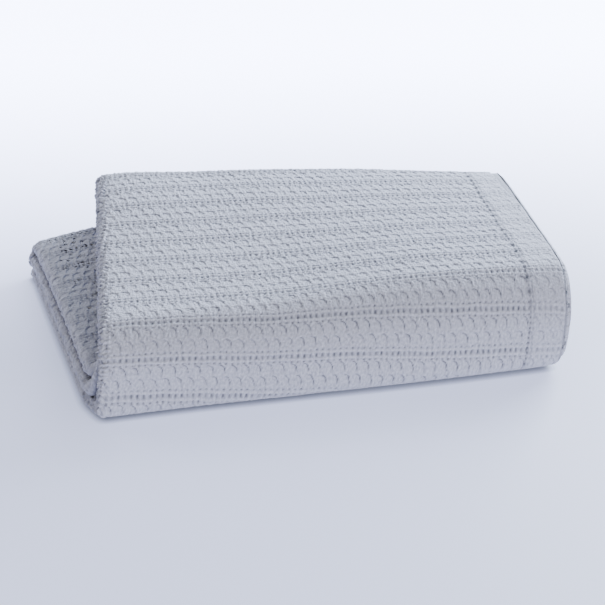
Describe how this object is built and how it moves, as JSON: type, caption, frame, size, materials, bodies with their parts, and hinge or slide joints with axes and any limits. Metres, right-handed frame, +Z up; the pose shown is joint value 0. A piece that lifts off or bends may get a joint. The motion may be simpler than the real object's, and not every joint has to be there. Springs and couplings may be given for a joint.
{
  "type": "waffle weave cotton blanket",
  "caption": "Cotton blanket in a waffle and open-band weave, folded into a soft rectangular stack with a rounded front and stitched hems at the right.",
  "frame": {"origin": "centre of the bounding box in plan, on the surface the blanket rests on", "axes": "+X along the front fold towards the hems, +Y from the front fold to the back, +Z up"},
  "size_m": [0.5324, 0.3942, 0.1085],
  "materials": {
    "grey_cotton": "matte woven cotton, soft and slightly napped"
  },
  "bodies": {
    "root": {"blanket": "grey_cotton"}
  },
  "joints": []
}
